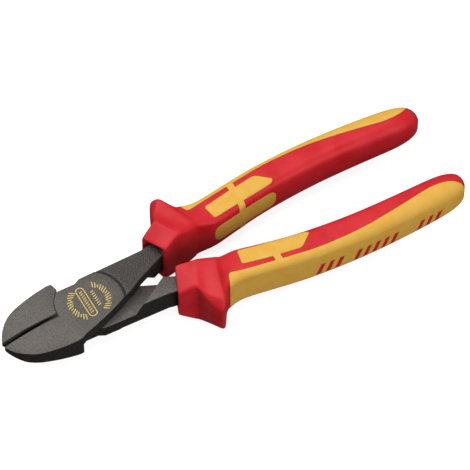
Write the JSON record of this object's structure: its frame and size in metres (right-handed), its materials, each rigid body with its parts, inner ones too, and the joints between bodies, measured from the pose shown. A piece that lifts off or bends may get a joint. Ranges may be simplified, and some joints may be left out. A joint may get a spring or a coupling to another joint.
{
  "type": "diagonal cutting pliers",
  "caption": "Diagonal cutting pliers with a flush lap joint and two-colour insulated grips that have a flared hand guard behind the joint.",
  "frame": {"origin": "middle of the underside of the whole tool's box, jaws closed", "axes": "-X towards the jaw tips, +X towards the grip ends, +Z along the pivot, up"},
  "size_m": [0.2, 0.0618, 0.027],
  "materials": {
    "lever_steel": "forged, ground and dark burnished",
    "rivet_steel": "ground flush with the levers",
    "hard_red": "satin moulded hard plastic",
    "soft_yellow": "fine matt thermoplastic elastomer"
  },
  "bodies": {
    "front_half": {"front_lever": "lever_steel", "pivot_rivet": "rivet_steel", "front_grip_body": "hard_red", "front_outer_inlay": "soft_yellow", "front_top_inlay": "soft_yellow", "front_bottom_inlay": "soft_yellow", "front_inner_inlay": "soft_yellow"},
    "rear_half": {"rear_lever": "lever_steel", "rear_grip_body": "hard_red", "rear_outer_inlay": "soft_yellow", "rear_top_inlay": "soft_yellow", "rear_bottom_inlay": "soft_yellow", "rear_inner_inlay": "soft_yellow"}
  },
  "joints": [
    {"name": "jaw_pivot", "type": "hinge", "parent": "front_half", "child": "rear_half", "pos_m": [-0.0615, 0, 0.0135], "axis": [0, 0, -1], "range_deg": [0, 28]}
  ]
}
